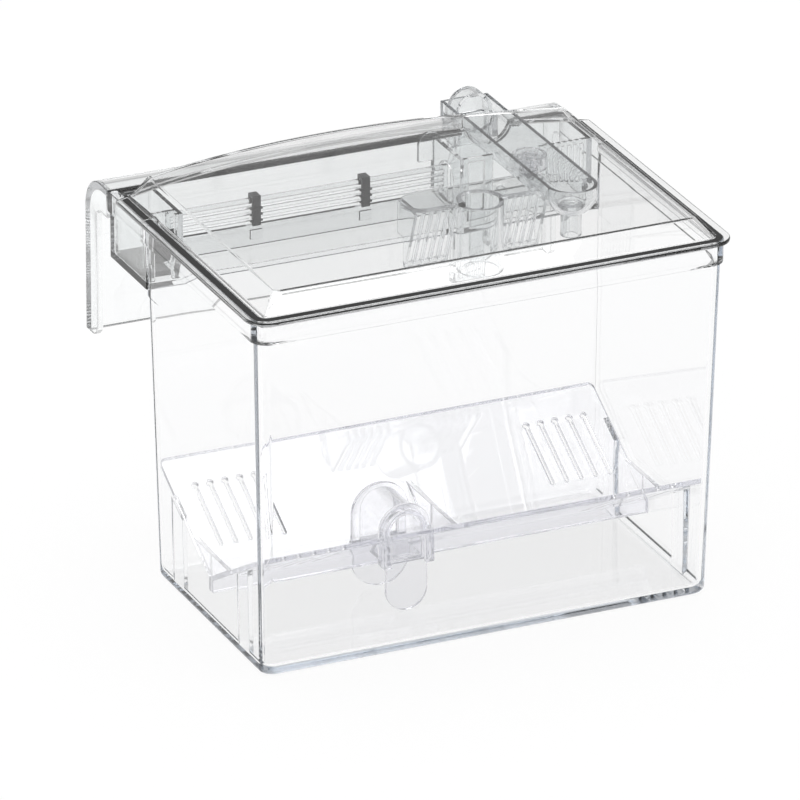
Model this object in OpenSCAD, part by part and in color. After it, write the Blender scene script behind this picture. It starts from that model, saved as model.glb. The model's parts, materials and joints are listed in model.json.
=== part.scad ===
// Hang-on fish breeding box: a clear moulded tank with a rear overflow tray and
// a hook for the aquarium wall, a lid, a slotted V floor with a fry gate, and an
// air-lift water feed. +Z is up, the origin is the centre of the tank's base.

/* [Tank] */
// Width of the tank at its base
base_w = 203; // [180:1:240]
// Depth of the tank at its base
base_d = 112.5; // [100:0.5:130]
// Height of the tank up to its collar
body_h = 151; // [145:1:170]
// How far each wall leans out from base to collar
draft = 3.3; // [1:0.1:4]
// Wall thickness of the tank
wall = 2.6; // [2:0.1:3.2]
// Floor thickness of the tank
floor_t = 3; // [2.4:0.1:4]
// Radius of the upright corners
corner_r = 5.5; // [5.5:0.5:12]
// Rounding where the walls meet the floor
foot_r = 3; // [1.5:0.5:4]
// Height of the thick collar round the rim
collar_h = 9.5; // [8:0.5:12]
// How far the collar stands out from the walls
collar_out = 1.3; // [0.8:0.1:2]

/* [Tray and hook] */
// Depth of the rear tray behind the tank wall
tray_d = 35.5; // [34.5:0.5:48]
// Height of the tray from its underside to the rim
tray_h = 30.5; // [28:0.5:34]
// Gap that takes the aquarium wall
hook_gap = 11; // [8:0.5:14]
// Depth of the hook's side flanges
flange_d = 13; // [12.5:0.5:14]
// Thickness of the hook's side flanges
flange_t = 2.6; // [2:0.1:4]
// Thickness of the hook's plate
hook_t = 3.5; // [2.5:0.1:3.5]
// Outer radius of the hook's bend
hook_r = 16; // [15:0.5:18]
// Length of the hook below the rim
hook_drop = 72; // [60:1:90]

/* [Lid] */
// How far the lid overhangs the collar
lid_over = 2.7; // [1.5:0.1:3.5]
// Thickness of the lid
lid_t = 1.8; // [1.4:0.1:2.4]
// Height of the raised panel above the lid's edge
panel_h = 6; // [5:0.5:7]
// Inset of the raised panel from the left edge
panel_left = 17; // [14:0.5:20]
// Inset of the raised panel from the front edge
panel_front = 16.6; // [12:0.2:20]
// Inset of the raised panel from the right edge
panel_right = 10.5; // [9:0.5:16]
// Flat border outside the left bevel
border_left = 8; // [7:0.5:10]
// Flat border outside the front bevel
border_front = 6; // [5.5:0.5:8]
// Flat border outside the right bevel
border_right = 6; // [5.5:0.5:8]
// How far the ends of the lid's rear edge stop short of the tray's rear
lid_short = 15.6; // [14:0.2:22]
// How far the rear edge bows backwards
lid_bow = 20; // [8:1:22]
// Depth of the lip that keeps the lid in the collar
lip_h = 3; // [2:0.5:4]

/* [V floor] */
// Height of the V floor's keel above the tank's base
keel_z = 15.5; // [12:0.5:20]
// Height of the keel
keel_h = 7; // [4:0.5:8]
// Height of the V floor's outer edges above the tank's base
slope_top = 53.5; // [48:0.5:60]
// Thickness of the sloping plates
slope_t = 2; // [1.6:0.1:2.4]
// Number of fry slots in each group
slot_n = 5; // [3:1:6]
// Spacing of the fry slots
slot_pitch = 6.7; // [5:0.1:7]
// Width of a fry slot
slot_w = 1.4; // [1:0.1:2.4]
// Diameter of the round hole at the upper end of each fry slot
slot_hole = 2.8; // [2.4:0.1:3.6]
// Length of a fry slot along the slope
slot_len = 33; // [20:1:36]
// Distance from the centre to the middle of each slot group
slot_x = 75; // [50:0.5:77]
// Reach of the middle gusset up each slope, measured level
gusset_mid = 26; // [20:1:34]
// Reach of each end gusset up each slope, measured level
gusset_end = 18; // [14:1:26]
// Width of the wall ribs that carry the V floor
rib_w = 11; // [8:0.5:14]
// Distance of each wall rib from the middle of the side wall
rib_y = 28.5; // [26:0.5:34]
// How far the wall ribs stand out
rib_out = 2; // [1.5:0.1:2.6]

/* [Fry gate] */
// Place of the fry gate left of the centre
gate_x = 23; // [14:0.5:30]
// Outer width of the arched tunnel
tunnel_w = 18.8; // [16:0.2:22]
// Length of the tunnel
tunnel_len = 24.5; // [20:0.5:26]
// Wall thickness of the tunnel
tunnel_t = 1.8; // [1.4:0.1:2.2]
// Height of the tunnel, floor to crown
tunnel_h = 24; // [22:0.5:26]
// Width of the flange at the tunnel's rear
rear_flange_w = 26; // [24:0.5:34]
// Thickness of the shutter and of the rear flange
plate_t = 2; // [1.6:0.1:2.4]
// How far the shutter lifts to close the tunnel
gate_lift = 21; // [20:0.5:22]

/* [Overflow screen] */
// Distance of the screen from the tray's rear wall
screen_gap = 18; // [14:0.5:22]
// Number of long slots, one above the other
screen_n = 4; // [3:1:5]
// Height of the slotted field
screen_h = 10; // [8:0.5:12]
// Height of the plain sill below the slots
screen_sill = 9.4; // [7:0.2:12]
// Width of the bars between the slots
bar_h = 0.9; // [0.6:0.1:1.2]
// Thickness of the screen
screen_t = 2; // [1.6:0.1:2.6]
// Width of each dark clip on the screen
clip_w = 3.8; // [3:0.1:5]
// Distance between the two dark clips
clip_pitch = 50; // [36:1:54]
// Thickness of each clip
clip_t = 1.2; // [1:0.1:1.6]
// Width of the pad below each clip
pad_w = 5.4; // [4:0.1:7]
// Height of the pad below each clip
pad_h = 4.2; // [3:0.1:4.6]
// Distance of the pad below the slots
pad_z = 1.9; // [1.5:0.1:2.4]

/* [Weir box] */
// Width of the weir box at the left end of the tray
weir_w = 15; // [12:0.5:20]
// Depth of the weir box
weir_d = 30; // [24:0.5:32]
// Wall thickness of the weir box
weir_t = 1.8; // [1.4:0.1:2.2]
// How far the weir shutter lifts
weir_lift = 6; // [4:0.5:9]

/* [Air lift] */
// Width of the pump housing
house_w = 61; // [57:0.5:62]
// Depth of the pump housing
house_d = 30; // [26:0.5:32]
// Wall thickness of the pump housing
house_t = 2; // [1.6:0.1:2.4]
// Place of the water chute right of the centre
chute_x = 67.5; // [64:0.5:74]
// Outer radius of the water chute
chute_r = 11; // [10.5:0.1:11.5]
// Wall thickness of the water chute
chute_t = 1.6; // [1.4:0.1:2]
// Distance from the tank's front to the chute's front end
chute_front = 55; // [45:1:62]
// Outer width of the riser pipe
riser_w = 18; // [15:0.5:18]
// Outer depth of the riser pipe
riser_d = 8.5; // [7:0.5:8.5]
// Wall thickness of the riser pipe
riser_t = 1.6; // [1.2:0.1:2]
// Length of the riser pipe
riser_len = 76; // [60:1:90]
// Outer diameter of the air nozzle
nozzle_d = 5; // [4:0.1:6]
// Bore of the air nozzle
nozzle_bore = 2.6; // [2:0.1:3.4]
// Length of the air nozzle's free end
nozzle_len = 12; // [8:0.5:14]
// Outer diameter of the outlet nozzle under the chute
outlet_d = 9; // [7:0.5:10]
// Length of the outlet nozzle below the chute
outlet_len = 9; // [5:0.5:14]
// Outer diameter of the flow dial
dial_d = 15; // [11:0.5:15]
// Height of the flow dial
dial_h = 6; // [4:0.5:7]
// Diameter of the flow dial's pin
pin_d = 4; // [3:0.1:4.4]
// Place of the inlet strainer right of the centre
inlet_x = 42.5; // [41:0.5:46]
// How far the inlet strainer hangs below the tray's floor
inlet_drop = 15; // [10:0.5:20]
// Height of the inlet strainer's shelf above the tray's floor
shelf_h = 15; // [12:0.5:16]
// Outer diameter of the inlet strainer's middle tube
inlet_d = 20; // [16:0.5:21]
// Width of each comb beside the middle tube
comb_w = 20; // [16:0.5:22]
// Number of slots in each comb
comb_n = 5; // [3:1:6]

/* [Fits] */
// Gap between a piece and the seat that carries it
seat = 0.3; // [0.2:0.05:0.4]
// Gap beside a piece that slides
slide = 0.35; // [0.3:0.05:0.5]
// Radial clearance of the flow dial on its pin
pin_run = 0.05; // [0.02:0.01:0.08]

/* [Hidden] */
$fn = 48;
eps = 0.01;
big = 400;
clear_plastic = [0.86, 0.9, 0.92, 0.4];
black_plastic = [0.06, 0.06, 0.07];

// Half width and half depth of the tank's outside at a height
function half_w(z) = base_w / 2 + draft * min(z, body_h) / body_h;
function half_d(z) = base_d / 2 + draft * min(z, body_h) / body_h;

// Rim, collar and tray
rim_z = body_h + collar_h;
collar_x = half_w(body_h) + collar_out;
collar_y = half_d(body_h) + collar_out;
tray_z = rim_z - tray_h;
tray_floor = tray_z + wall;
tray_x = half_w(body_h) - wall;
split_y = half_d(tray_z) - wall;
tray_back = half_d(body_h) + tray_d;
tray_in = tray_back - wall;
leg_out = tray_back + hook_gap + flange_d;
leg_z = rim_z - hook_drop;

// Lid
lid_x = half_w(body_h) + collar_out + lid_over;
lid_front = -(collar_y + lid_over);
lid_side = tray_back - lid_short;
bow_r = (lid_x * lid_x + lid_bow * lid_bow) / (2 * lid_bow);
lid_top = rim_z + lid_t + panel_h;
lid_under = lid_top - lid_t;

// V floor: the upper face of a slope runs from the keel to the tank's wall
slope_y0 = seat / 2;
slope_y1 = half_d(slope_top) - wall - slide;
slope_rise = (slope_top - keel_z - keel_h) / (slope_y1 - slope_y0);
slope_a = atan(slope_rise);
slope_drop = slope_t / cos(slope_a);
slope_x = half_w(keel_z) - wall - slide;
function slope_z(y) = keel_z + keel_h + slope_rise * (y - slope_y0);

// Fry gate
arch_r = tunnel_w / 2;
bore_r = arch_r - tunnel_t;
foot_z = floor_t + seat;
tunnel_z = foot_z + gate_lift;
crown_z = tunnel_z + tunnel_h;
arch_z = crown_z - arch_r;
flange_r = rear_flange_w / 2;
flange_top = crown_z + tunnel_t;
tunnel_y1 = slope_y0 + slope_t + seat;
tunnel_y0 = tunnel_y1 - tunnel_len;
shutter_y = tunnel_y0 - slide;
rail_x = arch_r + slide;
rail_out = rail_x + tunnel_t;
rail_y0 = shutter_y - plate_t - slide - tunnel_t;

// Overflow screen
screen_y = tray_in - screen_gap;
slots_z = tray_floor + screen_sill;
slot_h = (screen_h - (screen_n - 1) * bar_h) / screen_n;
screen_top = slots_z + screen_h + screen_t;

// Weir box and pump housing, both against the tray's rear wall
weir_x0 = -(tray_x - seat);
weir_x1 = weir_x0 + weir_w;
box_back = tray_in - seat;
weir_front = box_back - weir_d;
house_x1 = tray_x - seat;
house_x0 = house_x1 - house_w;
house_front = box_back - house_d;
screen_x0 = weir_x1 + seat;
screen_x1 = house_x0 - seat;
screen_mid = (screen_x0 + screen_x1) / 2;
bay_post = clip_w / 2 - bar_h;
box_h = rim_z - seat - tray_floor;

// Water chute and riser
chute_top = lid_under - 1;
chute_side = chute_t * 2;
chute_z = chute_top - chute_side;
chute_ri = chute_r - chute_t;
chute_y0 = chute_front - base_d / 2 + chute_r;
riser_y = tray_back + hook_gap + slide + riser_d / 2;
chute_y1 = riser_y + riser_d / 2 + slide + chute_t;
riser_top = chute_z - chute_t * 2;
riser_z = riser_top - riser_len;
socket_z = chute_z - chute_r - 2 * chute_t;
dial_y = (chute_y0 + tray_in) / 2;
dial_z = chute_z - sqrt(chute_ri * chute_ri - dial_d * dial_d / 4) + seat;
outlet_lip = outlet_d / 2 + chute_t;
outlet_z = chute_z - sqrt(chute_ri * chute_ri - outlet_lip * outlet_lip) + seat;
hood_z = riser_top + seat;
hood_r = sqrt(chute_ri * chute_ri - (chute_z - hood_z) * (chute_z - hood_z)) - seat;
elbow_r = nozzle_d / 2 + riser_t;
nozzle_x = chute_x + riser_w / 2 + seat + riser_t + elbow_r;
nozzle_z = riser_z + riser_len / 4;

// Inlet strainer
inlet_z = tray_floor - inlet_drop;
inlet_back = half_d(inlet_z) - wall - slide;
inlet_y = inlet_back - inlet_d / 2;
shelf_z = tray_floor + shelf_h;
shelf_back = house_front - seat;
shelf_front = inlet_y - inlet_d / 8;
comb_x = inlet_d / 2 + house_t / 2;
slat_t = comb_w / comb_n / 3;

// Extrudes a side view (across Y, up Z) from x0 to x1
module along_x(x0, x1) {
    translate([x0, 0, 0]) rotate([90, 0, 90]) linear_extrude(x1 - x0) children();
}

// Extrudes a front view (across X, up Z) from y0 to y1
module along_y(y0, y1) {
    translate([0, y1, 0]) rotate([90, 0, 0]) linear_extrude(y1 - y0) children();
}

// Rectangle with round corners between two opposite corners
module round_rect(x0, y0, x1, y1, r) {
    translate([x0 + r, y0]) square([x1 - x0 - 2 * r, y1 - y0]);
    translate([x0, y0 + r]) square([x1 - x0, y1 - y0 - 2 * r]);
    for (x = [x0 + r, x1 - r], y = [y0 + r, y1 - r]) translate([x, y]) circle(r);
}

// Box between two opposite corners
module block(x0, y0, z0, x1, y1, z1) {
    translate([x0, y0, z0]) cube([x1 - x0, y1 - y0, z1 - z0]);
}

// Arch seen from the front: a half circle on straight legs that end at z0
module arch(r, x, z, z0) {
    translate([x - r, z0]) square([2 * r, z - z0]);
    translate([x, z]) intersection() {
        circle(r);
        translate([-r, -eps]) square([2 * r, 2 * r]);
    }
}

// Upright plate with half round ends, seen from the front
module stadium(r, x, z0, z1) {
    translate([x - r, z0 + r]) square([2 * r, z1 - z0 - 2 * r]);
    for (z = [z0 + r, z1 - r]) translate([x, z]) circle(r);
}

// Channel that the water chute lies in, seen from the front
module chute_seat(gap) {
    translate([chute_x, chute_z]) circle(chute_r + gap);
    translate([chute_x - chute_r - gap, chute_z]) square([2 * (chute_r + gap), big]);
}

// Thin corner discs at one level, for the hull of a drafted block
module corners(hx, hy, r, z) {
    for (x = [r - hx, hx - r], y = [r - hy, hy - r])
        translate([x, y, z]) cylinder(r = r, h = eps, $fn = 32);
}

// Block that follows the tank's draft, set in by a wall, with a rounded foot
module drafted(inset, z0) {
    hull() {
        for (a = [0 : 22.5 : 90])
            corners(half_w(z0) - inset - foot_r * (1 - sin(a)),
                    half_d(z0) - inset - foot_r * (1 - sin(a)),
                    corner_r - inset, z0 + foot_r * (1 - cos(a)));
        corners(half_w(body_h) - inset, half_d(body_h) - inset, corner_r - inset, body_h - eps);
    }
}

// Side view of one wall rib, its top parallel to the V floor
module rib_side() {
    under = slope_drop + seat;
    polygon([[rib_y, floor_t - eps], [rib_y + rib_w, floor_t - eps],
             [rib_y + rib_w, slope_z(rib_y + rib_w) - under], [rib_y, slope_z(rib_y) - under]]);
}

// Tank with drafted walls, the front part of its collar and the V floor's ribs
module tank_shell() color(clear_plastic) {
    side_x = half_w(tray_z);
    difference() {
        union() {
            drafted(0, 0);
            translate([0, 0, body_h]) linear_extrude(collar_h)
                round_rect(-collar_x, -collar_y, collar_x, tray_back, corner_r + collar_out);
            for (x = [-side_x, side_x - wall])
                block(x, split_y - 2 * corner_r, tray_z - wall, x + wall, split_y + eps, body_h);
        }
        drafted(wall, floor_t);
        translate([0, 0, body_h - eps]) linear_extrude(big)
            round_rect(-tray_x, wall - half_d(body_h), tray_x, tray_back, corner_r - wall);
        block(wall - side_x, 0, tray_floor, side_x - wall, big, big);
        block(-big, split_y, tray_z, big, big, big);
    }
    for (m = [0, 1], n = [0, 1]) mirror([m, 0, 0]) mirror([0, n, 0])
        along_x(wall / 2 - half_w(0), wall - half_w(0) + rib_out) rib_side();
}

// Tray behind the tank, with the rear part of the collar
module rear_tray() color(clear_plastic) {
    difference() {
        union() {
            block(-half_w(body_h), split_y, tray_z, half_w(body_h), tray_back, rim_z);
            block(-collar_x, split_y, body_h, collar_x, tray_back, rim_z);
        }
        block(-tray_x, 0, tray_floor, tray_x, tray_in, big);
        along_y(tray_in - wall, tray_back + wall) chute_seat(seat);
    }
}

// Side view of everything under the hook's outline, set in by a thickness
module hook_side(t) {
    translate([tray_back, leg_z]) square([leg_out - hook_r - tray_back, rim_z - t - leg_z]);
    translate([tray_back, leg_z]) square([leg_out - t - tray_back, rim_z - hook_r - leg_z]);
    translate([leg_out - hook_r, rim_z - hook_r]) intersection() {
        circle(hook_r - t);
        translate([-eps, -eps]) square(hook_r);
    }
}

// Side view of a band along the hook's outline
module hook_band(t) {
    difference() {
        hook_side(0);
        translate([-eps, -eps]) hook_side(t);
    }
}

// Side view of an end flange, rounded off at its lower end
module hook_flange() {
    r = flange_d / 2;
    difference() {
        hook_band(flange_d);
        translate([leg_out - flange_d, leg_z]) difference() {
            translate([-eps, -eps]) square(r + eps);
            translate([r, r]) circle(r);
        }
    }
}

// Hook over the aquarium wall, with a flange at each end and room for the chute
module tank_hook() color(clear_plastic) {
    difference() {
        union() {
            along_x(-collar_x, collar_x) hook_band(hook_t);
            for (x = [-collar_x, collar_x - flange_t]) along_x(x, x + flange_t) hook_flange();
        }
        block(chute_x - chute_r - seat, tray_back - wall, socket_z - seat,
              chute_x + chute_r + seat, leg_out + wall, big);
    }
}

// Plan of the lid or of its raised panel, with the bowed rear edge
module lid_plan(left, front, right, rear, r) {
    bow_y = lid_side + lid_bow - bow_r;
    intersection() {
        round_rect(left - lid_x, lid_front + front, lid_x - right, lid_side + 2 * lid_bow, r);
        translate([0, bow_y]) circle(bow_r - rear, $fn = 200);
    }
}

// Raised part of the lid, as a solid between two levels
module lid_dome(inset, rear, z0, z1) {
    hull() {
        translate([0, 0, z0]) linear_extrude(eps)
            lid_plan(border_left + inset, border_front + inset, border_right + inset, rear, wall, $fn = 24);
        translate([0, 0, z1 - eps]) linear_extrude(eps)
            lid_plan(panel_left + inset, panel_front + inset, panel_right + inset, rear, wall, $fn = 24);
    }
}

// Lid with a bevelled raised panel and a lip inside the collar
module lid() color(clear_plastic) {
    difference() {
        union() {
            translate([0, 0, rim_z]) linear_extrude(lid_t)
                lid_plan(0, 0, 0, 0, corner_r + collar_out + lid_over);
            lid_dome(0, lid_t / 4, rim_z + lid_t - eps, lid_top);
        }
        lid_dome(lid_t / 2, lid_t, rim_z - eps, lid_under);
        block(chute_x - chute_r - slide, dial_y, rim_z - lid_t, chute_x + chute_r + slide, big,
              chute_top + slide);
    }
    lip_x = tray_x - slide;
    lip_y = wall + slide - half_d(body_h);
    lip_r = corner_r - wall - slide;
    translate([0, 0, rim_z - lip_h]) linear_extrude(lip_h) difference() {
        round_rect(-lip_x, lip_y, lip_x, tray_back, lip_r);
        round_rect(lid_t - lip_x, lip_y + lid_t, lip_x - lid_t, big, lip_r - lid_t);
        translate([-big, split_y - lip_h]) square([2 * big, big]);
    }
}

// Side view of a sloping plate and its keel lip
module slope_side() {
    lip_y = slope_y0 + slope_t;
    polygon([[slope_y0, keel_z], [slope_y0, slope_z(slope_y0)], [slope_y1, slope_top],
             [slope_y1, slope_top - slope_drop], [lip_y, slope_z(lip_y) - slope_drop], [lip_y, keel_z]]);
}

// Side view of half a gusset with a level top
module gusset_side(reach) {
    under = slope_t / 2;
    polygon([[slope_y0, slope_z(slope_y0) - under], [reach, slope_z(reach) - under],
             [reach, slope_z(reach)], [slope_y0, slope_z(reach)]]);
}

// Sloping plate for the rear half of the V floor, with its slots and gussets
module slope_plate() {
    mid_y = (slope_y0 + slope_y1) / 2;
    difference() {
        intersection() {
            union() {
                along_x(-slope_x, slope_x) slope_side();
                along_x(-slope_t / 2, slope_t / 2) gusset_side(gusset_mid);
                for (x = [-slope_x, slope_x - slope_t])
                    along_x(x, x + slope_t) gusset_side(gusset_end);
            }
            linear_extrude(big)
                round_rect(-slope_x, -slope_y1, slope_x, slope_y1, corner_r - wall - slide);
        }
        for (side = [-1, 1], i = [0 : slot_n - 1])
            translate([side * slot_x + (i - (slot_n - 1) / 2) * slot_pitch, mid_y, slope_z(mid_y)])
                rotate([slope_a, 0, 0]) translate([0, 0, -2 * slope_t]) linear_extrude(3 * slope_t) {
                    stadium(slot_w / 2, 0, -slot_len / 2, slot_len / 2);
                    translate([0, (slot_len - slot_hole) / 2]) circle(d = slot_hole);
                }
    }
}

module rear_slope() color(clear_plastic) {
    difference() {
        slope_plate();
        block(-gate_x - flange_r - slide, tunnel_y1 - seat, 0, slide + flange_r - gate_x,
              tunnel_y1 + plate_t + seat, big);
        block(-gate_x - rail_out - slide, 0, tunnel_z - seat, slide + rail_out - gate_x, tunnel_y1, big);
    }
}

module front_slope() color(clear_plastic) {
    difference() {
        mirror([0, 1, 0]) slope_plate();
        block(-gate_x - rail_out - slide, rail_y0 - slide, 0, slide + rail_out - gate_x,
              -slope_y0 - slope_t, big);
        block(-gate_x - rail_out - slide, -tunnel_y1, tunnel_z - seat, slide + rail_out - gate_x, 0, big);
    }
}

// Arched passage between both sides of the V floor, with rails for its shutter
module fry_tunnel() color(clear_plastic) {
    difference() {
        union() {
            along_y(tunnel_y0, tunnel_y1 + eps) arch(arch_r, -gate_x, arch_z, tunnel_z);
            along_y(tunnel_y0, tunnel_y0 + tunnel_t) arch(rail_out, -gate_x, arch_z, tunnel_z);
            along_y(tunnel_y1, tunnel_y1 + plate_t)
                stadium(flange_r, -gate_x, foot_z, flange_top);
        }
        along_y(tunnel_y0 - plate_t, tunnel_y1 + 2 * plate_t)
            arch(bore_r, -gate_x, arch_z, tunnel_z + tunnel_t);
    }
    for (m = [0, 1]) translate([-gate_x, 0, 0]) mirror([m, 0, 0]) {
        block(rail_x, rail_y0, tunnel_z, rail_out, tunnel_y0 + eps, arch_z);
        block(arch_r - tunnel_t, rail_y0, tunnel_z, rail_out, rail_y0 + tunnel_t, arch_z);
    }
}

// Shutter with an arched window above a plain foot
module tunnel_shutter() color(clear_plastic) {
    along_y(shutter_y - plate_t, shutter_y) difference() {
        stadium(arch_r, -gate_x, foot_z, crown_z);
        arch(bore_r, -gate_x, arch_z, tunnel_z + tunnel_t);
    }
}

// Places of the clips along the screen
clip_xs = [screen_mid - clip_pitch / 2, screen_mid + clip_pitch / 2];

// Screen across the tray, with slots in three bays and a pad below each clip
module overflow_screen() color(clear_plastic) {
    front = screen_y - screen_t / 2;
    starts = [screen_x0 + screen_t, clip_xs[0] + bay_post, clip_xs[1] + bay_post];
    ends = [clip_xs[0] - bay_post, clip_xs[1] - bay_post, screen_x1 - screen_t];
    difference() {
        block(screen_x0, front, tray_floor, screen_x1, front + screen_t, screen_top);
        for (bay = [0 : 2], i = [0 : screen_n - 1])
            block(starts[bay], front - screen_t, slots_z + i * (slot_h + bar_h),
                  ends[bay], front + 2 * screen_t, slots_z + i * (slot_h + bar_h) + slot_h);
    }
    for (x = clip_xs)
        block(x - pad_w / 2, front - clip_t, slots_z - pad_z - pad_h,
              x + pad_w / 2, front + eps, slots_z - pad_z);
}

// Two dark clips that hook over the screen, toothed where they meet its bars
module screen_clips() color(black_plastic) {
    front = screen_y - screen_t / 2 - seat;
    back = screen_y + screen_t / 2 + seat;
    cap_z = screen_top + seat;
    for (x = clip_xs) translate([x - clip_w / 2, 0, 0]) {
        block(0, front - clip_t, slots_z, clip_w, front, cap_z + clip_t);
        block(0, front - clip_t, cap_z, clip_w, back + clip_t, cap_z + clip_t);
        block(0, back, cap_z - 3 * clip_t, clip_w, back + clip_t, cap_z + clip_t);
        for (i = [1 : screen_n - 1])
            block(-bar_h, front - clip_t, slots_z + i * (slot_h + bar_h) - bar_h,
                  clip_w + bar_h, front, slots_z + i * (slot_h + bar_h));
    }
}

// Box at the left end of the tray, with an arched mouth and rails for its shutter
module weir_box() color(clear_plastic) {
    mid = (weir_x0 + weir_x1) / 2;
    mouth_r = weir_w / 2 - 2 * weir_t;
    difference() {
        block(weir_x0, weir_front, tray_floor, weir_x1, box_back, tray_floor + box_h);
        block(weir_x0 + weir_t, weir_front + weir_t, tray_floor + weir_t, weir_x1 - weir_t,
              box_back - weir_t, big);
        along_y(weir_front - weir_t, weir_front + 2 * weir_t)
            arch(mouth_r, mid, tray_floor + box_h / 2, tray_floor + 2 * weir_t);
    }
    lip_y = weir_front - plate_t - 2 * slide;
    for (m = [0, 1]) translate([mid, 0, 0]) mirror([m, 0, 0]) {
        block(weir_w / 2 - weir_t, lip_y - weir_t, tray_floor, weir_w / 2, weir_front + eps,
              tray_floor + box_h);
        block(weir_w / 2 - 2 * weir_t, lip_y - weir_t, tray_floor, weir_w / 2, lip_y,
              tray_floor + box_h);
    }
}

// Dark shutter that sets the water level, with a round thumb knob
module weir_shutter() color(black_plastic) {
    mid = (weir_x0 + weir_x1) / 2;
    half = weir_w / 2 - weir_t - slide;
    y1 = weir_front - slide;
    top = tray_floor + box_h - weir_lift - weir_t;
    low = tray_floor + 4 * weir_t;
    block(mid - half, y1 - plate_t, low, mid + half, y1, top);
    along_y(y1 - 3 * plate_t, y1 - plate_t + eps) translate([mid, (low + top) / 2]) circle(half / 2);
}

// Housing of the air lift: windows, a barred grille and a saddle for the chute
module pump_housing() color(clear_plastic) {
    top = tray_floor + box_h;
    window_x = house_x0 + 2 * house_t;
    sill_x = chute_x - chute_r - seat;
    sill_z = tray_floor + box_h / 3;
    grille_x = chute_x + chute_r + 2 * house_t;
    grille_w = house_x1 - 2 * house_t - grille_x;
    bars = 5;
    pitch = grille_w / (bars + 0.5);
    difference() {
        block(house_x0, house_front, tray_floor, house_x1, box_back, top);
        block(house_x0 + house_t, house_front + house_t, tray_floor - eps, house_x1 - house_t,
              box_back - house_t, big);
        along_y(house_front - house_t, box_back + house_t) chute_seat(seat);
        block(window_x, house_front - eps, tray_floor + 2 * house_t, sill_x - 2 * house_t,
              house_front + 2 * house_t, top - house_t);
        block(sill_x, house_front - eps, sill_z, chute_x + chute_r + seat,
              house_front + 2 * house_t, chute_z);
        for (i = [0 : bars])
            block(grille_x + i * pitch, house_front - eps, sill_z, grille_x + (i + 0.5) * pitch,
                  house_front + 2 * house_t, top - house_t);
        translate([house_x0 - house_t, (house_front + box_back) / 2, tray_floor]) rotate([0, 0, 90])
            along_y(-3 * house_t, house_t) arch(house_d / 4, 0, box_h / 2, house_t);
    }
    tab_r = chute_r / 2;
    along_y(box_back - house_t, box_back)
        arch(tab_r, house_x0 - house_t / 2, rim_z + house_t - tab_r, rim_z - 2 * tab_r);
}

// Side view of one comb slat, leaning back towards its foot
module slat_side() {
    polygon([[shelf_front, shelf_z + eps], [shelf_front + house_t, shelf_z + eps],
             [inlet_back, inlet_z + 2 * house_t], [inlet_back, inlet_z + house_t],
             [inlet_back - house_t, inlet_z + house_t]]);
}

// Side view of a cheek: it stands on the tray's floor and follows the slats
module cheek_side() {
    polygon([[shelf_front, shelf_z + eps], [shelf_back, shelf_z + eps], [shelf_back, tray_floor],
             [inlet_back, tray_floor], [inlet_back, inlet_z + house_t],
             [inlet_back - house_t, inlet_z + house_t]]);
}

// Strainer that hangs in the tank: a tube between two slanted combs under a shelf
module inlet_strainer() color(clear_plastic) {
    reach = comb_x + comb_w;
    shelf_r = (shelf_back - shelf_front) / 2 - eps;
    difference() {
        union() {
            translate([inlet_x, inlet_y, inlet_z]) cylinder(d = inlet_d, h = shelf_z - inlet_z + eps);
            translate([0, 0, shelf_z]) linear_extrude(house_t)
                round_rect(inlet_x - reach - house_t, shelf_front, inlet_x + reach + house_t,
                           shelf_back, shelf_r);
        }
        translate([inlet_x, inlet_y, inlet_z - eps]) cylinder(d = inlet_d - 2 * house_t, h = big);
    }
    for (side = [0, 1]) translate([inlet_x, 0, 0]) mirror([side, 0, 0]) {
        for (i = [0 : comb_n])
            along_x(comb_x + i * (comb_w - slat_t) / comb_n,
                    comb_x + i * (comb_w - slat_t) / comb_n + slat_t) slat_side();
        along_x(reach - slat_t, reach) cheek_side();
        block(comb_x, inlet_back - house_t, inlet_z + house_t, reach, inlet_back, inlet_z + 2 * house_t);
    }
}

// Open half-round chute with a domed front end, a dial pin and a socket for the riser
module water_chute() color(clear_plastic) {
    socket_x = riser_w / 2 + slide + chute_t;
    difference() {
        union() {
            along_y(chute_y0, chute_y1) translate([chute_x, chute_z]) circle(chute_r);
            translate([chute_x, chute_y0, chute_z]) sphere(chute_r);
            translate([chute_x, chute_y0, chute_z]) cylinder(r = chute_r, h = chute_side);
            block(chute_x - chute_r, chute_y0, chute_z, chute_x + chute_r, chute_y1, chute_top);
            block(chute_x - socket_x, riser_y - riser_d / 2 - slide - chute_t, socket_z,
                  chute_x + socket_x, chute_y1, chute_z);
        }
        difference() {
            union() {
                along_y(chute_y0, chute_y1 - chute_t) translate([chute_x, chute_z]) circle(chute_ri);
                translate([chute_x, chute_y0, chute_z]) sphere(chute_ri);
                translate([chute_x, chute_y0, chute_z]) cylinder(r = chute_ri, h = big);
                block(chute_x - chute_ri, chute_y0, chute_z, chute_x + chute_ri, chute_y1 - chute_t, big);
            }
            translate([chute_x, dial_y, chute_z - chute_r]) {
                cylinder(d = pin_d, h = dial_z + dial_h - slide - chute_z + chute_r);
                cylinder(d = pin_d + 2 * chute_t, h = dial_z - seat - chute_z + chute_r);
            }
        }
        block(chute_x - big, chute_y0 - big, chute_top, chute_x + big, chute_y1 + big, big);
        translate([chute_x, chute_y0, socket_z]) cylinder(d = outlet_d + 2 * seat, h = chute_r);
        translate([chute_x, riser_y, socket_z - eps]) linear_extrude(hood_z - socket_z)
            riser_plan(slide);
    }
}

// Plan of the riser, about its own axis
module riser_plan(grow) {
    round_rect(-riser_w / 2 - grow, -riser_d / 2 - grow, riser_w / 2 + grow, riser_d / 2 + grow,
               riser_d / 2 - riser_t + grow);
}

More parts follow.
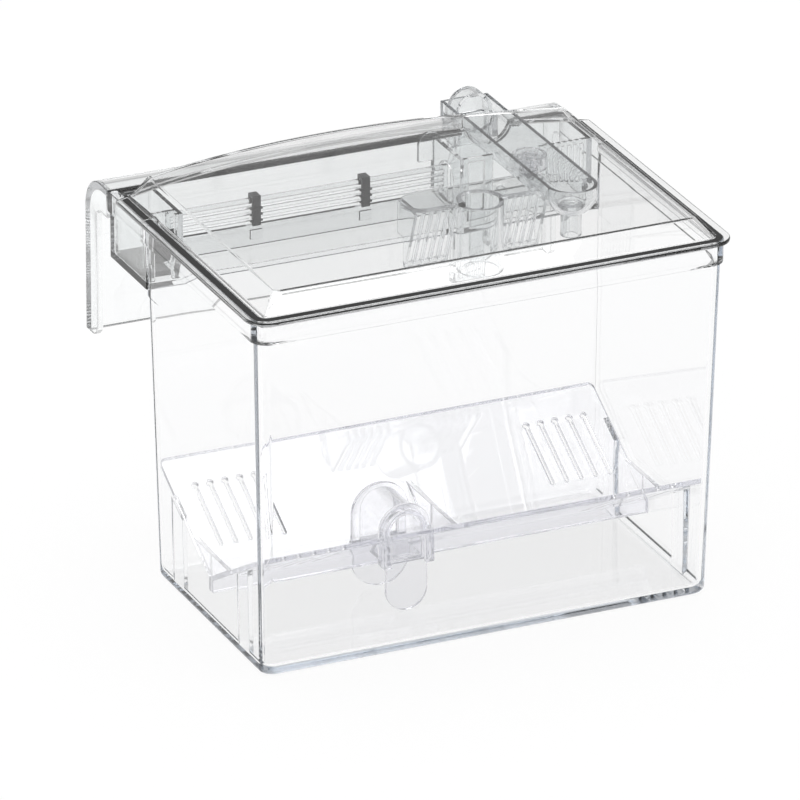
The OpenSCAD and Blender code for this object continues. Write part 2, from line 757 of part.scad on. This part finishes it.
// Short nozzle that drops the water into the tank
module outlet_nozzle() color(clear_plastic) {
    low = chute_z - chute_r - outlet_len;
    translate([chute_x, chute_y0, 0]) difference() {
        union() {
            translate([0, 0, low]) cylinder(d = outlet_d, h = outlet_z + chute_t - low);
            translate([0, 0, outlet_z]) cylinder(r = outlet_lip, h = chute_t);
        }
        translate([0, 0, low - eps]) cylinder(d = outlet_d - 2 * chute_t, h = big);
    }
}

// Spoked dial that turns on the chute's pin
module flow_dial() color(clear_plastic) {
    spoke = chute_t;
    translate([chute_x, dial_y, dial_z]) difference() {
        union() {
            difference() {
                cylinder(d = dial_d, h = dial_h);
                translate([0, 0, -eps]) cylinder(d = dial_d - 2 * spoke, h = big);
            }
            cylinder(d = pin_d + 2 * spoke, h = dial_h);
            for (a = [0 : 120 : 240]) rotate([0, 0, a])
                translate([0, -spoke / 2, 0]) cube([dial_d / 2 - spoke / 2, spoke, dial_h - spoke]);
        }
        translate([0, 0, -eps]) cylinder(r = pin_d / 2 + pin_run, h = big);
    }
}

// Flat riser pipe in the aquarium, slotted at its foot
module riser_pipe() color(clear_plastic) {
    ear_z = socket_z - seat - riser_t;
    slots = 5;
    pitch = (riser_w - 2 * riser_t) / slots;
    translate([chute_x, riser_y, 0]) difference() {
        union() {
            translate([0, 0, riser_z]) linear_extrude(riser_len) riser_plan(0);
            block(-riser_w / 2 - riser_t, -riser_d / 2 + riser_t, ear_z, riser_w / 2 + riser_t,
                  riser_d / 2 - riser_t, ear_z + riser_t);
        }
        translate([0, 0, riser_z + riser_t]) linear_extrude(big) riser_plan(-riser_t);
        for (i = [0 : slots - 1])
            block((i - slots / 2 + 0.25) * pitch, -riser_d, riser_z + 2 * riser_t,
                  (i - slots / 2 + 0.75) * pitch, riser_d, nozzle_z - nozzle_d);
        translate([0, 0, nozzle_z]) rotate([0, 90, 0]) cylinder(r = nozzle_d / 2 + pin_run, h = riser_w);
    }
}

// Arched hood over the riser's mouth
module riser_hood() color(clear_plastic) {
    y0 = riser_y - riser_d / 2;
    y1 = chute_y1 - chute_t - seat;
    difference() {
        along_y(y0, y1) arch(hood_r, chute_x, chute_z, hood_z);
        along_y(y0 - riser_t, y1 - riser_t) arch(hood_r - riser_t, chute_x, chute_z, hood_z - eps);
    }
}

// Elbow that takes the air hose on its upright end
module air_nozzle() color(clear_plastic) {
    wall_x = chute_x + riser_w / 2;
    difference() {
        union() {
            translate([wall_x - riser_t, riser_y, nozzle_z]) rotate([0, 90, 0])
                cylinder(d = nozzle_d, h = nozzle_x - wall_x + riser_t);
            translate([wall_x + seat, riser_y, nozzle_z]) rotate([0, 90, 0])
                cylinder(d = nozzle_d + riser_t, h = riser_t);
            translate([nozzle_x, riser_y, nozzle_z - elbow_r]) cylinder(r = elbow_r, h = 2 * elbow_r);
            translate([nozzle_x, riser_y, nozzle_z]) cylinder(d = nozzle_d, h = elbow_r + nozzle_len);
        }
        translate([wall_x - 2 * riser_t, riser_y, nozzle_z]) rotate([0, 90, 0])
            cylinder(d = nozzle_bore, h = nozzle_x - wall_x + 2 * riser_t);
        translate([nozzle_x, riser_y, nozzle_z]) cylinder(d = nozzle_bore, h = big);
    }
}

tank_shell();
rear_tray();
tank_hook();
lid();
rear_slope();
front_slope();
fry_tunnel();
tunnel_shutter();
overflow_screen();
screen_clips();
weir_box();
weir_shutter();
pump_housing();
inlet_strainer();
water_chute();
outlet_nozzle();
flow_dial();
riser_pipe();
riser_hood();
air_nozzle();
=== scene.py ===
import json
import math

import bmesh
import bpy
from mathutils import Matrix, Vector
from mathutils.bvhtree import BVHTree

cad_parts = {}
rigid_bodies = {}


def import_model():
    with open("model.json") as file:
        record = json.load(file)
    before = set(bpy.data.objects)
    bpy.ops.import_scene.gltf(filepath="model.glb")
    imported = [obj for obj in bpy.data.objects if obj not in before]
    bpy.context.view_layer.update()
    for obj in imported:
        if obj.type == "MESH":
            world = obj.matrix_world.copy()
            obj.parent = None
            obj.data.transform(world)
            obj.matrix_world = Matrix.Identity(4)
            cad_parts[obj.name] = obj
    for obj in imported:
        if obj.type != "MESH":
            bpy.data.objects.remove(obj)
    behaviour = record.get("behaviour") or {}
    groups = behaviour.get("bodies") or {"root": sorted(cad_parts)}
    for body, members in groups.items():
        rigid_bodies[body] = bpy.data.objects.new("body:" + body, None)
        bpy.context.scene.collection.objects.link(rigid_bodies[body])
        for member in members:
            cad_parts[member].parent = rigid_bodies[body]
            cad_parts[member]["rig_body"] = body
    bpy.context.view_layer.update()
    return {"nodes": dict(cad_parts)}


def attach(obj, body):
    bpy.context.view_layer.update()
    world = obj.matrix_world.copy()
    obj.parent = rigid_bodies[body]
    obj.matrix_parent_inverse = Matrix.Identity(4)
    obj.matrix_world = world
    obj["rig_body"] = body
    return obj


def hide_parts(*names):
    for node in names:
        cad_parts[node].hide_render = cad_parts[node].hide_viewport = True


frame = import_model()
scene = bpy.context.scene
nodes = frame["nodes"]

# ---- Camera ----
# A long lens just over four metres away, above the front left corner of the box,
# so that its long side runs to the right and the upright edges stay nearly parallel.
CAMERA_PLACE = (-1.6065, -3.50535, 1.8008)
CAMERA_LENS = 456.96
CAMERA_SENSOR = 36
CAMERA_REACH = 60
CAMERA_BACK = (-0.3777, -0.8318, 0.4067)
CAMERA_RIGHT = (0.9105, -0.4134, 0.0)
CAMERA_ROLL = 0.158

camera_data = bpy.data.cameras.new("camera")
camera_data.lens = CAMERA_LENS
camera_data.sensor_width = CAMERA_SENSOR
camera_data.clip_end = CAMERA_REACH
camera = bpy.data.objects.new("camera", camera_data)
scene.collection.objects.link(camera)
back = Vector(CAMERA_BACK).normalized()
right = Vector(CAMERA_RIGHT).normalized()
up = back.cross(right)
roll = math.radians(CAMERA_ROLL)
rolled_right = right * math.cos(roll) + up * math.sin(roll)
rolled_up = up * math.cos(roll) - right * math.sin(roll)
turn = Matrix((rolled_right, rolled_up, back)).transposed().to_4x4()
camera.matrix_world = Matrix.Translation(CAMERA_PLACE) @ turn
scene.camera = camera


# ---- Paper floor ----
# A sheet of seamless white paper that the box stands on. It is white to the eye
# and through the plastic, and keeps a faint part of the shadow that falls on it.
# Seen in or through the plastic the paper glows, a painted pool of light: full near the box, dimmer
# far off.
def linear(hex_code):
    """Linear colour of an sRGB hex value."""
    out = []
    for i in (0, 2, 4):
        v = int(hex_code[i : i + 2], 16) / 255
        out.append(v / 12.92 if v <= 0.04045 else ((v + 0.055) / 1.055) ** 2.4)
    return (*out, 1.0)


def node(tree, kind, settings=None, **links):
    """One node with its settings, its sockets set to values or linked to outputs.

    A socket is named as Blender names it, or by its number after an i.
    """
    made = tree.nodes.new(kind)
    for key, value in (settings or {}).items():
        setattr(made, key, value)
    for key, value in links.items():
        numbered = key[0] == "i" and key[1:].isdigit()
        socket = made.inputs[int(key[1:]) if numbered else key.replace("_", " ")]
        if isinstance(value, bpy.types.NodeSocket):
            tree.links.new(value, socket)
        else:
            socket.default_value = value
    return made


def bare_material(name):
    """An empty node material and its tree."""
    made = bpy.data.materials.new(name)
    made.use_nodes = True
    made.node_tree.nodes.clear()
    return made, made.node_tree


WHITE = "ffffff"
FLOOR_HALF = 12.0
FLOOR_DROP = 0.0002
FLOOR_SHADE = 0.07
PAPER_PALE, PAPER_WHITE = "f4f4f5", "f8f8f8"
PAPER_FIBRE_MM = 1.11  # a real fibre is about 0.05 mm thick, drawn coarser so that it shows
BRIGHT_TO, DIM_FROM = 0.9, 2.4  # metres from the box
# painted pool of light: the share of the paper's glow that is left far from the box
PAINTED_GLOW_FAR = 0.5

paper, tree = bare_material("white_seamless_paper")
fibre = node(tree, "ShaderNodeTexNoise", Scale=1000 / PAPER_FIBRE_MM, Detail=3.0)
tone = node(tree, "ShaderNodeMix", {"data_type": "RGBA"}, i0=fibre.outputs["Fac"],
            i6=linear(PAPER_PALE), i7=linear(PAPER_WHITE))
matt = node(tree, "ShaderNodeBsdfDiffuse", Color=tone.outputs[2])
path = node(tree, "ShaderNodeLightPath")
place = node(tree, "ShaderNodeTexCoord").outputs["Object"]
away = node(tree, "ShaderNodeVectorMath", {"operation": "LENGTH"}, i0=place)
# painted pool of light: the glow seen in the plastic fades with distance from the box
painted_glow_fade = node(tree, "ShaderNodeMapRange", {"interpolation_type": "SMOOTHSTEP"},
            Value=away.outputs["Value"], From_Min=BRIGHT_TO, From_Max=DIM_FROM,
            To_Min=1.0, To_Max=PAINTED_GLOW_FAR)
white = node(tree, "ShaderNodeMix", {"data_type": "FLOAT"}, i0=path.outputs["Is Camera Ray"],
             i2=painted_glow_fade.outputs[0], i3=1.0)
glow = node(tree, "ShaderNodeEmission", Color=linear(WHITE), Strength=white.outputs[0])
mirrored = node(tree, "ShaderNodeMath", {"operation": "MAXIMUM"},
                i0=path.outputs["Is Camera Ray"], i1=path.outputs["Is Glossy Ray"])
seen = node(tree, "ShaderNodeMath", {"operation": "MAXIMUM"},
            i0=mirrored.outputs[0], i1=path.outputs["Is Transmission Ray"])
share = node(tree, "ShaderNodeMath", {"operation": "MULTIPLY"},
             i0=seen.outputs[0], i1=1 - FLOOR_SHADE)
mixed = node(tree, "ShaderNodeMixShader", i0=share.outputs[0], i1=matt.outputs[0],
             i2=glow.outputs[0])
node(tree, "ShaderNodeOutputMaterial", Surface=mixed.outputs[0])

floor_mesh = bpy.data.meshes.new("floor")
floor_mesh.from_pydata(
    [(-FLOOR_HALF, -FLOOR_HALF, 0), (FLOOR_HALF, -FLOOR_HALF, 0),
     (FLOOR_HALF, FLOOR_HALF, 0), (-FLOOR_HALF, FLOOR_HALF, 0)], [], [(0, 1, 2, 3)])
floor_mesh.materials.append(paper)
floor = bpy.data.objects.new("floor", floor_mesh)
floor.location.z = -FLOOR_DROP
scene.collection.objects.link(floor)

# ---- Studio light ----
# A white dome with a dimmer ring at mid height, so that the clear edges have
# something darker to bend towards the eye, a large soft box overhead and a weaker
# one on the left. Light is followed through enough surfaces to clear stacked walls.
SKY_LIGHT = 0.85
DOME_RINGS = [(0.0, 0.7), (0.2, 0.6), (0.35, 0.48), (0.52, 0.48), (0.75, 0.9)]
SURFACES_CROSSED = 46
SOFT_BOXES = {
    "overhead_box": {"place": (0.1, 0.3, 1.9), "target": (0, 0.02, 0.08), "size": 1.4, "watts": 14},
    "left_fill": {"place": (-1.5, -1.1, 1.2), "target": (0, 0, 0.1), "size": 0.9, "watts": 5},
}

world = bpy.data.worlds.new("studio")
world.use_nodes = True
tree = world.node_tree
tree.nodes.clear()
direction = node(tree, "ShaderNodeTexCoord").outputs["Generated"]
height = node(tree, "ShaderNodeSeparateXYZ", i0=direction).outputs[2]
dome = node(tree, "ShaderNodeValToRGB", Fac=height)
while len(dome.color_ramp.elements) < len(DOME_RINGS):
    dome.color_ramp.elements.new(1.0)
for stop, (ring_height, ring_light) in zip(dome.color_ramp.elements, DOME_RINGS):
    stop.position = ring_height
    stop.color = (ring_light, ring_light, ring_light, 1)
path = node(tree, "ShaderNodeLightPath")
bent = node(tree, "ShaderNodeMath", {"operation": "MAXIMUM"},
            i0=path.outputs["Is Glossy Ray"], i1=path.outputs["Is Transmission Ray"])
level = node(tree, "ShaderNodeMix", {"data_type": "FLOAT"}, i0=bent.outputs[0], i2=SKY_LIGHT,
             i3=dome.outputs[0])
eye = node(tree, "ShaderNodeMix", {"data_type": "FLOAT"}, i0=path.outputs["Is Camera Ray"],
           i2=level.outputs[0], i3=1.0)
sky = node(tree, "ShaderNodeBackground", Color=linear(WHITE), Strength=eye.outputs[0])
node(tree, "ShaderNodeOutputWorld", Surface=sky.outputs[0])
scene.world = world
scene.view_settings.view_transform = "Standard"
scene.cycles.max_bounces = SURFACES_CROSSED
scene.cycles.transmission_bounces = SURFACES_CROSSED
scene.cycles.glossy_bounces = SURFACES_CROSSED

for name, box in SOFT_BOXES.items():
    lamp = bpy.data.lights.new(name, "AREA")
    lamp.size = box["size"]
    lamp.energy = box["watts"]
    stand = bpy.data.objects.new(name, lamp)
    stand.location = box["place"]
    aim = Vector(box["target"]) - Vector(box["place"])
    stand.rotation_euler = aim.to_track_quat("-Z", "Y").to_euler()
    scene.collection.objects.link(stand)


# ---- Tank ----
# The open box that holds the water: one thin-walled moulding of clear
# polystyrene, with a thickened collar, a rounded foot and upright ribs that carry
# the V floor. The polished mould leaves it glossy, its edges barely eased.
RIPPLE_STRENGTH = 0.03
RIPPLE_HEIGHT = 0.0003
CLEAREST, HAZIEST = 0.6, 1.6  # shares of a piece's roughness in its two extremes
EDGE_STEPS = 2
SOFT_BELOW = 40  # degrees between two faces that still shade as one
THROWN_OFF = 0.45  # share of the edge's size that a point may stand off the surface


def clear_styrene(name, tint, depth_tint, density, ripple_mm, rough, ior=1.49):
    """Clear moulded polystyrene: glossy, faintly wavy from the melt's flow, tinted in its depth."""
    made, tree = bare_material(name)
    place = node(tree, "ShaderNodeTexCoord").outputs["Object"]
    ripple = node(tree, "ShaderNodeTexNoise", Vector=place, Scale=1000 / ripple_mm, Detail=1.0)
    bump = node(tree, "ShaderNodeBump", Strength=RIPPLE_STRENGTH, Distance=RIPPLE_HEIGHT,
                Height=ripple.outputs["Fac"])
    haze = node(tree, "ShaderNodeMapRange", Value=ripple.outputs["Fac"],
                To_Min=rough * CLEAREST, To_Max=rough * HAZIEST)
    skin = node(tree, "ShaderNodeBsdfPrincipled", Base_Color=linear(tint), Metallic=0.0,
                Roughness=haze.outputs[0], IOR=ior, Transmission_Weight=1.0,
                Normal=bump.outputs[0])
    inside = node(tree, "ShaderNodeVolumeAbsorption", Color=linear(depth_tint), Density=density)
    node(tree, "ShaderNodeOutputMaterial", Surface=skin.outputs[0], Volume=inside.outputs[0])
    return made


def moulded(name, material, edge_mm, weld_mm=0.02, crease=32):
    """A moulded piece on a CAD node's lines, its sharp edges rounded as the mould leaves them.

    A point that the rounding throws off the piece's surface goes back to the nearest place on it.
    """
    form = bmesh.new()
    form.from_mesh(nodes[name].data)
    bmesh.ops.remove_doubles(form, verts=form.verts, dist=weld_mm / 1000)
    surface = BVHTree.FromBMesh(form)
    sharp = [e for e in form.edges if e.is_manifold and e.calc_face_angle() > math.radians(crease)]
    bmesh.ops.bevel(form, geom=sharp, offset=edge_mm / 1000, offset_type="OFFSET",
                    segments=EDGE_STEPS, profile=0.5, affect="EDGES", clamp_overlap=False,
                    loop_slide=False)
    for vert in form.verts:
        near, _, _, away = surface.find_nearest(vert.co)
        if away > THROWN_OFF * edge_mm / 1000:
            vert.co = near
    for face in form.faces:
        face.smooth = True
    mesh = bpy.data.meshes.new(name + "_moulding")
    form.to_mesh(mesh)
    form.free()
    mesh.set_sharp_from_angle(angle=math.radians(SOFT_BELOW))
    mesh.materials.append(material)
    piece = bpy.data.objects.new(name + "_moulding", mesh)
    scene.collection.objects.link(piece)
    weighted = piece.modifiers.new("weighted", "WEIGHTED_NORMAL")
    weighted.keep_sharp = True
    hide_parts(name)
    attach(piece, nodes[name]["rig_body"])


# General purpose polystyrene, polished: the walls all but vanish, and the foot
# and the collar, where the eye looks along the plastic, go grey-blue.
tank_plastic = clear_styrene("clear_polystyrene_polished_wall", tint="fefefe", depth_tint="b2c3d8",
                             density=3.5, ripple_mm=40.0, rough=0.004)
moulded("tank_shell", tank_plastic, edge_mm=0.4)

# ---- Rear tray ----
# The shallow tray behind the tank's rear wall that the water leaves by: clear
# polystyrene, one moulding with the tank, with closer ripples than its large walls.
GREY_DEPTH = "bfc1c4"
tray_plastic = clear_styrene("clear_polystyrene_tray", tint="fdfefe", depth_tint=GREY_DEPTH,
                             density=4.0, ripple_mm=26.0, rough=0.006)
moulded("rear_tray", tray_plastic, edge_mm=0.4)

# ---- Hook ----
# The hook along the tray's rear that hangs the box on the aquarium's glass: a
# plate between two flanges, of the same moulding, thick enough for the water's
# weight. Its bend gathers a soft grey line.
hook_plastic = clear_styrene("clear_polystyrene_hook", tint="fdfefe", depth_tint=GREY_DEPTH,
                             density=4.0, ripple_mm=30.0, rough=0.006)
moulded("tank_hook", hook_plastic, edge_mm=0.5)

# ---- Lid ----
# The loose cover: a thin clear polystyrene form with a bevelled raised panel, a
# bowed rear edge and a lip that drops inside the collar. Its polished sheet is
# seen by its edges and by what it mirrors.
lid_plastic = clear_styrene("clear_polystyrene_lid_sheet", tint="fefefe", depth_tint=GREY_DEPTH,
                            density=3.5, ripple_mm=34.0, rough=0.004)
moulded("lid", lid_plastic, edge_mm=0.5, crease=20)

# ---- Sloping plates of the V floor ----
# Two clear polystyrene plates that lean together over the fry space, moulded with
# slots that the fry drop through and gussets that stiffen them. They show as pale
# sheets with lavender grey edges.
LAVENDER_DEPTH = "bcbecd"
slope_plastic = clear_styrene("clear_polystyrene_thin_plate", tint="fcfcfe",
                              depth_tint=LAVENDER_DEPTH, density=7.0, ripple_mm=22.0,
                              rough=0.005, ior=1.57)
for name in ["rear_slope", "front_slope"]:
    moulded(name, slope_plastic, edge_mm=0.3)

# ---- Fry tunnel and its shutter ----
# The arched passage between the two halves of the fry space, and the door that
# slides up in its rails: small thick mouldings of clear polystyrene that gather
# more grey and show the flow of the melt.
tunnel_plastic = clear_styrene("clear_polystyrene_tunnel", tint="f7f7f9",
                               depth_tint=LAVENDER_DEPTH, density=10.0, ripple_mm=9.0,
                               rough=0.012, ior=1.55)
for name in ["fry_tunnel", "tunnel_shutter"]:
    moulded(name, tunnel_plastic, edge_mm=0.3)

# ---- Overflow screen ----
# The flat clear polystyrene screen across the tray, with long level slots in
# three bays that hold the fry back while the water passes. Its many edges catch
# light as a set of fine lines.
screen_plastic = clear_styrene("clear_polystyrene_screen", tint="fbfcfc", depth_tint=GREY_DEPTH,
                               density=90.0, ripple_mm=12.0, rough=0.008, ior=1.57)
moulded("overflow_screen", screen_plastic, edge_mm=0.2)

# ---- Screen clips and weir shutter ----
# Two toothed clips that hook over the screen's bars, and the shutter with a thumb
# knob that sets the water level: black ABS, from a tool that leaves a fine satin
# grain, so that they have soft highlights and no mirror.
ABS_BLACK, ABS_HIGH_SPOT = "0c0c0e", "1d1d20"
ABS_GRAIN_MM = 0.7  # the real grain is about 0.1 mm, drawn coarser so that it shows
ABS_GRAIN_STRENGTH, ABS_GRAIN_HEIGHT = 0.15, 0.0002

black, tree = bare_material("black_abs_satin")
grain = node(tree, "ShaderNodeTexNoise", Scale=1000 / ABS_GRAIN_MM, Detail=4.0)
tone = node(tree, "ShaderNodeMix", {"data_type": "RGBA"}, i0=grain.outputs["Fac"],
            i6=linear(ABS_BLACK), i7=linear(ABS_HIGH_SPOT))
bump = node(tree, "ShaderNodeBump", Strength=ABS_GRAIN_STRENGTH, Distance=ABS_GRAIN_HEIGHT,
            Height=grain.outputs["Fac"])
skin = node(tree, "ShaderNodeBsdfPrincipled", Base_Color=tone.outputs[2], Roughness=0.32,
            IOR=1.54, Normal=bump.outputs[0])
node(tree, "ShaderNodeOutputMaterial", Surface=skin.outputs[0])
for name in ["screen_clips", "weir_shutter"]:
    moulded(name, black, edge_mm=0.2)

# ---- Weir box ----
# The narrow box at the tray's left end that the water spills out by: a small
# moulding of clear polystyrene with an arched mouth and two rails, dark at its
# edges where the plastic is deep.
weir_plastic = clear_styrene("clear_polystyrene_weir", tint="f8f9f9", depth_tint=GREY_DEPTH,
                             density=20.0, ripple_mm=7.0, rough=0.012, ior=1.57)
moulded("weir_box", weir_plastic, edge_mm=0.25)

# ---- Pump housing ----
# The box at the tray's right end that carries the chute on its saddle: clear
# polystyrene with windows and a barred grille, set down into the tray. It looks
# grey where its walls overlap.
housing_plastic = clear_styrene("clear_polystyrene_housing", tint="fbfcfc", depth_tint=GREY_DEPTH,
                                density=34.0, ripple_mm=12.0, rough=0.006, ior=1.57)
moulded("pump_housing", housing_plastic, edge_mm=0.25)

# ---- Inlet strainer ----
# The tube between two slanted combs that hangs in the tank from a shelf: clear
# polystyrene, moulded in one, its thin slats close enough to read as grey hatching.
strainer_plastic = clear_styrene("clear_polystyrene_strainer", tint="fbfcfc",
                                 depth_tint=GREY_DEPTH, density=50.0, ripple_mm=10.0,
                                 rough=0.008, ior=1.55)
moulded("inlet_strainer", strainer_plastic, edge_mm=0.25)

# ---- Water chute and its nozzle ----
# The open half-round chute that carries the lifted water forward under the lid,
# and the short spout in its floor that drops it into the tank: clear polystyrene,
# whose round walls bend what lies behind into bright and grey bands.
chute_plastic = clear_styrene("clear_polystyrene_chute", tint="fbfcfc", depth_tint=GREY_DEPTH,
                              density=80.0, ripple_mm=10.0, rough=0.008, ior=1.57)
for name in ["water_chute", "outlet_nozzle"]:
    moulded(name, chute_plastic, edge_mm=0.25)

# ---- Flow dial ----
# The small spoked dial that turns on a pin in the chute to set the flow: clear
# polystyrene, thick for its size, so its spokes gather grey.
dial_plastic = clear_styrene("clear_polystyrene_dial", tint="f6f6f7", depth_tint=GREY_DEPTH,
                             density=60.0, ripple_mm=8.0, rough=0.01, ior=1.55)
moulded("flow_dial", dial_plastic, edge_mm=0.25)

# ---- Riser pipe, hood and air nozzle ----
# The flat pipe in the aquarium that air lifts the water through, the arched hood
# over its mouth and the elbow that takes the air hose: clear polystyrene mouldings
# pushed together, with bright round highlights.
riser_plastic = clear_styrene("clear_polystyrene_riser", tint="fbfcfc", depth_tint=GREY_DEPTH,
                              density=40.0, ripple_mm=9.0, rough=0.008, ior=1.57)
moulded("riser_pipe", riser_plastic, edge_mm=0.25)
moulded("riser_hood", riser_plastic, edge_mm=0.25)
moulded("air_nozzle", riser_plastic, edge_mm=0.25, weld_mm=0.15)
